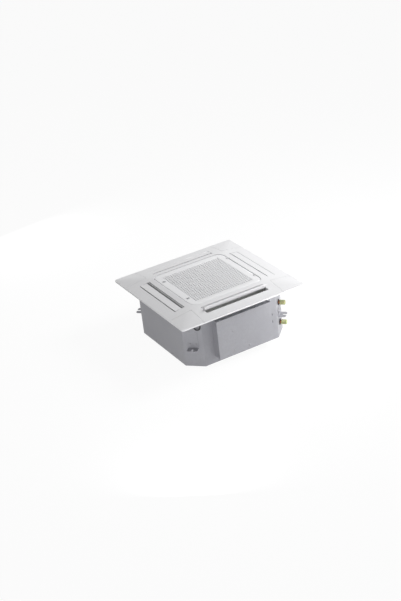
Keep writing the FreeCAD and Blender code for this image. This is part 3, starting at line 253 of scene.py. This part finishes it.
# Drawn copper darkens in brown patches, duller than the bare metal.
copper, tree, inputs, place = surface("drawn_copper", Metallic=1.0)
tarnish = add(tree, "ShaderNodeTexNoise",
              {"Vector": place, "Scale": per_mm(25.0), "Detail": 5.0}).outputs["Fac"]
add(tree, "ShaderNodeMixRGB", {"Fac": tarnish, "Color1": linear("#9C6B50"), "Color2": linear("#7A5442")},
    inputs["Base Color"])
add(tree, "ShaderNodeMapRange", {"Value": tarnish, "To Min": 0.25, "To Max": 0.45}, inputs["Roughness"])
dress(copper, "return_bends", "supply_manifold", "return_manifold")

# Turning leaves fine bright rings on brass, drawn coarser than they are, to show.
brass, tree, inputs, place = surface("turned_brass", Metallic=1.0)
turning_scale = per_mm(0.8) * wave_turn
turning = add(tree, "ShaderNodeTexWave", {"Vector": place, "Scale": turning_scale},
              bands_direction="Z").outputs["Fac"]
add(tree, "ShaderNodeMixRGB", {"Fac": turning, "Color1": linear("#B59A52"), "Color2": linear("#D0B770")},
    inputs["Base Color"])
add(tree, "ShaderNodeMapRange", {"Value": turning, "To Min": 0.25, "To Max": 0.35}, inputs["Roughness"])
dress(brass, "air_vents")

# Pipe caps: two soft yellow-green polyethylene dust caps, moulded with a rounded end.
# They are pushed over the pipe ends and come off when the pipes are joined.
cap_rounding = 0.004
cap_rows = 5
cap_end_depth = 0.0001

# Polyethylene is waxy: slightly cloudy, unevenly glossy, and it lets a little light in.
cap_plastic, tree, inputs, place = surface("soft_polyethylene", Subsurface_Weight=0.15,
                                           Subsurface_Scale=0.004)
waxy = add(tree, "ShaderNodeTexNoise",
           {"Vector": place, "Scale": per_mm(12.0), "Detail": 3.0}).outputs["Fac"]
add(tree, "ShaderNodeMixRGB", {"Fac": waxy, "Color1": linear("#A2A674"), "Color2": linear("#B0B486")},
    inputs["Base Color"])
add(tree, "ShaderNodeMapRange", {"Value": waxy, "To Min": 0.38, "To Max": 0.55}, inputs["Roughness"])
add(tree, "ShaderNodeBump", {"Height": waxy, "Strength": 0.15, "Distance": 0.0004}, inputs["Normal"])


def outward(vert):
    """How far a point lies along the way that the pipes point, which is out of the +X -Y corner."""
    return vert.co.x - vert.co.y


cap_end = max(outward(vert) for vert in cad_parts["pipe_caps"].data.vertices) - cap_end_depth
caps = softened("pipe_caps", "pipe_dust_caps", cap_plastic, cap_rounding,
                lambda edge: min(outward(vert) for vert in edge.verts) > cap_end, cap_rows)
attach(caps, "casing")

# Drain pan: one moulding of white expanded polystyrene that catches the coil's water.
# It lies between the coil and the panel, round the inlet ring.

# Steam fuses the beads in the mould, and their outlines stay as shallow grooves in a matt skin.
eps, tree, inputs, place = surface("expanded_polystyrene", Roughness=0.85)
beads = add(tree, "ShaderNodeTexVoronoi", {"Vector": place, "Scale": per_mm(4.0)}).outputs["Distance"]
add(tree, "ShaderNodeMixRGB", {"Fac": beads, "Color1": linear("#EDEDEB"), "Color2": linear("#D4D4D2")},
    inputs["Base Color"])
add(tree, "ShaderNodeBump", {"Height": beads, "Strength": 0.3, "Distance": 0.0008}, inputs["Normal"],
    invert=True)
dress(eps, "drain_pan")

# Drain spigot, float and its switch, terminal block and capacitor: small pieces moulded in pale nylon.
# The spigot runs from the pump through the wall, and the switch stands on the pump's bracket.
# The block and the capacitor are fixed in the control box.

# Bare nylon is off-white, milky and half glossy.
nylon, tree, inputs, place = surface("moulded_nylon")
milky = add(tree, "ShaderNodeTexNoise",
            {"Vector": place, "Scale": per_mm(8.0), "Detail": 3.0}).outputs["Fac"]
add(tree, "ShaderNodeMixRGB", {"Fac": milky, "Color1": linear("#DDDCD5"), "Color2": linear("#CBCAC3")},
    inputs["Base Color"])
add(tree, "ShaderNodeMapRange", {"Value": milky, "To Min": 0.34, "To Max": 0.48}, inputs["Roughness"])
add(tree, "ShaderNodeBump", {"Height": milky, "Strength": 0.1, "Distance": 0.0003}, inputs["Normal"])
dress(nylon, "drain_spigot", "float_switch", "switch_float", "terminal_block", "run_capacitor")

# Control box: a folded tray and cover of galvanised sheet on the front of the wall.
# The circuit board inside it is a laminate in green lacquer, which stands upright.
dress(galvanised, "control_box", "control_box_cover")

# Tracks under the lacquer show as paler lines, slightly raised and duller.
# The pattern is turned into the upright board's plane.
board, tree, inputs, place = surface("circuit_board")
board_plane = add(tree, "ShaderNodeMapping",
                  {"Vector": place, "Rotation": (math.pi / 2, 0.0, 0.0)}).outputs["Vector"]
tracks = add(tree, "ShaderNodeTexBrick",
             {"Vector": board_plane, "Scale": per_mm(8.0), "Color1": linear("#1E5B36"),
              "Color2": linear("#1A4F2F"), "Mortar": linear("#2F7A4C"), "Mortar Size": 0.04},
             inputs["Base Color"]).outputs["Fac"]
add(tree, "ShaderNodeMapRange", {"Value": tracks, "To Min": 0.3, "To Max": 0.45}, inputs["Roughness"])
add(tree, "ShaderNodeBump", {"Height": tracks, "Strength": 0.3, "Distance": 0.0001}, inputs["Normal"])
dress(board, "control_board")

# Cover face screws: three small pan heads, where the photograph has small dark spots on the cover.
# That they are screws is a guess. They are zinc-plated like the others, with a socket in the head.
stud_radius = 0.0035
stud_height = 0.002
stud_sides = 20
stud_profile_shares = ((1.0, 0.0), (1.0, 0.55), (0.8, 0.9), (0.5, 1.0), (0.45, 0.25), (0.02, 0.2))
stud_places = ((-0.071, 0.164), (-0.0715, 0.060), (0.0166, 0.054))
stud_sharp_angle = 40.0
cover_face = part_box("control_box_cover")[0][1]
turns = [2 * math.pi * i / stud_sides for i in range(stud_sides)]
form = bmesh.new()
for x, z in stud_places:
    rings = []
    for wide, out in stud_profile_shares:
        rings.append([form.verts.new((x + stud_radius * wide * math.cos(a), cover_face - stud_height * out,
                                      z + stud_radius * wide * math.sin(a))) for a in turns])
    for near, far in zip(rings, rings[1:]):
        for i in range(stud_sides):
            form.faces.new((near[i - 1], near[i], far[i], far[i - 1]))
    form.faces.new(rings[0])
    form.faces.new(rings[-1])
bmesh.ops.recalc_face_normals(form, faces=form.faces)
studs = shaped(form, "cover_face_screws", zinc, stud_sharp_angle)
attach(studs, "casing")

# Panel: a frame with four air outlets and four corner covers, injection-moulded in white ABS.
# Screws at the corners hold the frame to the casing, and the covers close over them.


def moulded_abs(name, light, shade):
    """Satin ABS: the mould's spark-eroded grain, drawn coarser than it is, and a slow drift of tone
    where the melt flowed."""
    material, tree, inputs, place = surface(name, IOR=1.52)
    grained = add(tree, "ShaderNodeTexNoise",
                  {"Vector": place, "Scale": per_mm(1.6), "Detail": 2.0}).outputs["Fac"]
    flow = add(tree, "ShaderNodeTexNoise",
               {"Vector": place, "Scale": per_mm(220.0), "Detail": 2.0}).outputs["Fac"]
    add(tree, "ShaderNodeMixRGB", {"Fac": flow, "Color1": linear(light), "Color2": linear(shade)},
        inputs["Base Color"])
    add(tree, "ShaderNodeMapRange", {"Value": grained, "To Min": 0.36, "To Max": 0.46}, inputs["Roughness"])
    add(tree, "ShaderNodeBump", {"Height": grained, "Strength": 0.1, "Distance": 0.0002}, inputs["Normal"])
    return material


panel_abs = moulded_abs("panel_white_abs", "#EEEEEF", "#E8E8EA")
dress(panel_abs, "panel_frame", "corner_cover_back_right", "corner_cover_back_left",
      "corner_cover_front_left", "corner_cover_front_right")

# Air flaps and vanes: thin blades moulded in the panel's ABS, a wide and a narrow one in each outlet.
# They turn on end pins that are snapped into the panel.
for side in ("front", "right", "back", "left"):
    dress(panel_abs, "air_flap_" + side, "air_vane_" + side)

# Intake grille: one ABS moulding, which swings on two pins. Its white is painted a shade lighter than the
# panel's, as painted light for the brighter light that falls on its flat face.
# Its frame is the solid's own. The field inside the frame is moulded with rows of fine oblong holes,
# each with a broken edge.
field_half = 0.167
field_top = 0.297
field_under = 0.295
holes_across = 26
hole_long = 0.0084
hole_wide = 0.006
hole_edge = 0.0007
cut_within = 1e-7
grille_sharp_angle = 30.0
hole_corners = ((-1, -1), (1, -1), (1, 1), (-1, 1))
form = bmesh.new()
form.from_mesh(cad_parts["intake_grille"].data)
for axis in (0, 1):
    for side in (-1, 1):
        border = Vector((0, 0, 0))
        across = Vector((0, 0, 0))
        border[axis] = side * field_half
        across[axis] = 1.0
        bmesh.ops.bisect_plane(form, geom=form.verts[:] + form.edges[:] + form.faces[:], dist=cut_within,
                               plane_co=border, plane_no=across)
coarse = [face for face in form.faces
          if max(abs(c) for c in face.calc_center_median().xy) < field_half - weld]
bmesh.ops.delete(form, geom=coarse, context="FACES")
pitch = 2 * field_half / holes_across
outlines = [(pitch / 2, pitch / 2, field_under), (hole_long / 2, hole_wide / 2, field_under),
            (hole_long / 2, hole_wide / 2, field_top - hole_edge),
            (hole_long / 2 + hole_edge, hole_wide / 2 + hole_edge, field_top),
            (pitch / 2, pitch / 2, field_top)]
for column in range(holes_across):
    for row in range(holes_across):
        x = (column + 0.5) * pitch - field_half
        y = (row + 0.5) * pitch - field_half
        rings = [[form.verts.new((x + a * half_x, y + b * half_y, z)) for a, b in hole_corners]
                 for half_x, half_y, z in outlines]
        for near, far in zip(rings, rings[1:]):
            for i in range(len(hole_corners)):
                form.faces.new((near[i - 1], near[i], far[i], far[i - 1]))
bmesh.ops.remove_doubles(form, verts=form.verts, dist=weld)
bmesh.ops.recalc_face_normals(form, faces=form.faces)
# The grille's lighter white is painted light: a lighter copy of the panel's ABS stands in for the brighter
# light on its flat face.
grille_abs_with_painted_light = moulded_abs("grille_abs_painted_light", "#F7F7F8", "#F2F2F4")
grille = shaped(form, "grille_moulding", grille_abs_with_painted_light, grille_sharp_angle)
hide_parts("intake_grille")
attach(grille, "grille")

# Latches and filter frame: moulded in pale grey polypropylene.
# The latches slide in the grille, and the filter's frame is clipped under it.

# Polypropylene looks slightly greasy: matt, with a fine unevenness.
grey_plastic, tree, inputs, place = surface("grey_polypropylene")
matt = add(tree, "ShaderNodeTexNoise",
           {"Vector": place, "Scale": per_mm(2.0), "Detail": 3.0}).outputs["Fac"]
add(tree, "ShaderNodeMixRGB", {"Fac": matt, "Color1": linear("#B9BABD"), "Color2": linear("#C6C7CA")},
    inputs["Base Color"])
add(tree, "ShaderNodeMapRange", {"Value": matt, "To Min": 0.42, "To Max": 0.58}, inputs["Roughness"])
add(tree, "ShaderNodeBump", {"Height": matt, "Strength": 0.1, "Distance": 0.0002}, inputs["Normal"])
dress(grey_plastic, "grille_latch_front", "grille_latch_back", "air_filter_frame")

# Filter cloth: a net woven of synthetic thread, welded into the filter's frame and drawn tight.
# The bars of the frame hold it up, so it sags a little between them.
cloth_sag = 0.0005
cloth_cells = 40

# The crossings of the threads catch the light. The weave is drawn coarser than it is, to show.
cloth, tree, inputs, place = surface("woven_net", Roughness=0.8)
weave = add(tree, "ShaderNodeTexVoronoi", {"Vector": place, "Scale": per_mm(1.5)},
            distance="CHEBYCHEV").outputs["Distance"]
add(tree, "ShaderNodeMixRGB", {"Fac": weave, "Color1": linear("#A9ADB2"), "Color2": linear("#C9CCD0")},
    inputs["Base Color"])
add(tree, "ShaderNodeBump", {"Height": weave, "Strength": 0.5, "Distance": 0.0004}, inputs["Normal"])
cloth_low, cloth_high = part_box("air_filter_mesh")
cloth_level = (cloth_low[2] + cloth_high[2]) / 2
form = bmesh.new()
bmesh.ops.create_grid(form, x_segments=cloth_cells, y_segments=cloth_cells, size=cloth_high[0])
for vert in form.verts:
    fall = math.sin(math.pi * vert.co.x / cloth_high[0]) * math.sin(math.pi * vert.co.y / cloth_high[1])
    vert.co.z = cloth_level - cloth_sag * abs(fall)
net = shaped(form, "filter_cloth", cloth)
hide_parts("air_filter_mesh")
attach(net, "grille")

# Lead: a short cable in a black vinyl sheath, which hangs in a loop between the panel and the casing.
# It leaves the panel's underside and goes into the wall through its grommet.
# The route's points are distances from the middle towards the front corner, along its chamfer, and up.
lead_radius = 0.0032
lead_route = [(0.368, 0.012, 0.270), (0.368, 0.012, 0.210), (0.368, 0.048, 0.210), (0.368, 0.048, 0.248),
              (0.3555, 0.048, 0.248)]

# Vinyl is half glossy, with duller scuffs from handling.
sheath, tree, inputs, place = surface("vinyl_sheath")
scuffs = add(tree, "ShaderNodeTexNoise",
             {"Vector": place, "Scale": per_mm(5.0), "Detail": 4.0}).outputs["Fac"]
add(tree, "ShaderNodeMixRGB", {"Fac": scuffs, "Color1": linear("#18181A"), "Color2": linear("#29292B")},
    inputs["Base Color"])
add(tree, "ShaderNodeMapRange", {"Value": scuffs, "To Min": 0.35, "To Max": 0.55}, inputs["Roughness"])
add(tree, "ShaderNodeBump", {"Height": scuffs, "Strength": 0.1, "Distance": 0.0002}, inputs["Normal"])
half_right = math.sqrt(0.5)
out_of_corner = Vector((-half_right, -half_right, 0))
along_chamfer = Vector((half_right, -half_right, 0))
route = [out_of_corner * out + along_chamfer * along + Vector((0, 0, z)) for out, along, z in lead_route]
line = bpy.data.curves.new("panel_lead_cable", "CURVE")
line.dimensions = "3D"
line.bevel_depth = lead_radius
line.bevel_resolution = 6
line.resolution_u = 16
line.use_fill_caps = True
spline = line.splines.new("NURBS")
spline.points.add(len(route) - 1)
for point, spot in zip(spline.points, route):
    point.co = (*spot, 1.0)
spline.order_u = 3
spline.use_endpoint_u = True
line.materials.append(sheath)
lead = placed("panel_lead_cable", line)
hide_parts("panel_lead")
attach(lead, "casing")

# Stage: a plain pale floor just under the part.
# The camera and reflections see it glow white, with enough of its matt surface left to keep a faint shadow.
floor_reach = 30.0
floor_gap = 0.0005
floor_glow_share = 0.9
floor_glow = 1.03
bpy.context.scene.view_settings.view_transform = "Standard"


def seen_directly(tree):
    """One for rays from the camera, off gloss or through glass, and nought for the light on the part."""
    rays = add(tree, "ShaderNodeLightPath").outputs
    seen = add(tree, "ShaderNodeMath", {0: rays["Is Camera Ray"], 1: rays["Is Glossy Ray"]},
               operation="MAXIMUM").outputs[0]
    return add(tree, "ShaderNodeMath", {0: seen, 1: rays["Is Transmission Ray"]},
               operation="MAXIMUM").outputs[0]


floor_mesh = bpy.data.meshes.new("floor")
floor_mesh.from_pydata([(-floor_reach, -floor_reach, 0), (floor_reach, -floor_reach, 0),
                        (floor_reach, floor_reach, 0), (-floor_reach, floor_reach, 0)], [], [(0, 1, 2, 3)])
floor = placed("floor", floor_mesh)
floor.location.z = -floor_gap
pale = bpy.data.materials.new("pale_floor")
pale.use_nodes = True
tree = pale.node_tree
tree.nodes.clear()
share = add(tree, "ShaderNodeMath", {0: seen_directly(tree), 1: floor_glow_share}, operation="MULTIPLY")
matt_floor = add(tree, "ShaderNodeBsdfDiffuse", {"Color": linear("#F2F2F2")})
glow = add(tree, "ShaderNodeEmission", {"Color": linear("#FFFFFF"), "Strength": floor_glow})
mixed = add(tree, "ShaderNodeMixShader",
            {"Fac": share.outputs[0], 1: matt_floor.outputs[0], 2: glow.outputs[0]})
add(tree, "ShaderNodeOutputMaterial", {"Surface": mixed.outputs[0]})
floor_mesh.materials.append(pale)

# Light: a white room that fills the shadows, and four soft lamps that the camera doesn't see.
# A large one stands high at the right, and three weaker ones stand low at the front and the back.
room_fill = 0.31
room_white = 1.0
lamp_aim = Vector((0, 0, 0.2))
world = bpy.data.worlds.new("studio")
bpy.context.scene.world = world
world.use_nodes = True
tree = world.node_tree
tree.nodes.clear()
strength = add(tree, "ShaderNodeMapRange",
               {"Value": seen_directly(tree), "To Min": room_fill, "To Max": room_white})
room = add(tree, "ShaderNodeBackground", {"Color": linear("#FFFFFF"), "Strength": strength.outputs[0]})
add(tree, "ShaderNodeOutputWorld", {"Surface": room.outputs[0]})
for name, spot, watts, size in (("softbox_right", (1.6, -0.45, 1.8), 39.0, 0.9),
                                ("softbox_front_left", (-0.8, -1.15, 0.13), 3.6, 0.25),
                                ("softbox_front_right", (0.7, -0.75, 0.17), 4.2, 0.3),
                                ("softbox_back", (-0.3, 1.9, 0.35), 5.0, 0.5)):
    lamp_data = bpy.data.lights.new(name, "AREA")
    lamp_data.energy = watts
    lamp_data.size = size
    lamp = placed(name, lamp_data)
    lamp.visible_camera = False
    lamp.location = spot
    lamp.rotation_mode = "QUATERNION"
    lamp.rotation_quaternion = (lamp_aim - lamp.location).to_track_quat("-Z", "Y")

# Camera: at the photograph's viewing angle, found from the panel's corners, the outlets and the foot.
# Its shifts aside and down put the part where the photograph has it in the frame.
azimuth = math.radians(-27.808)
elevation = math.radians(27.663)
roll = math.radians(-6.787)
lens = 74.568
distance = 6.3
shift_aside = 0.04145
shift_down = 0.03302
focus = Vector((0, 0, 0.21))
backward = Vector((math.sin(azimuth) * math.cos(elevation), -math.cos(azimuth) * math.cos(elevation),
                   math.sin(elevation)))
level = Vector((math.cos(azimuth), math.sin(azimuth), 0))
upright = backward.cross(level)
right = math.cos(roll) * level + math.sin(roll) * upright
upward = math.cos(roll) * upright - math.sin(roll) * level
eye = focus + backward * distance - right * shift_aside - upward * shift_down
camera_data = bpy.data.cameras.new("camera")
camera_data.lens = lens
camera = placed("camera", camera_data)
camera.matrix_world = Matrix.Translation(eye) @ Matrix((right, upward, backward)).transposed().to_4x4()
bpy.context.scene.camera = camera
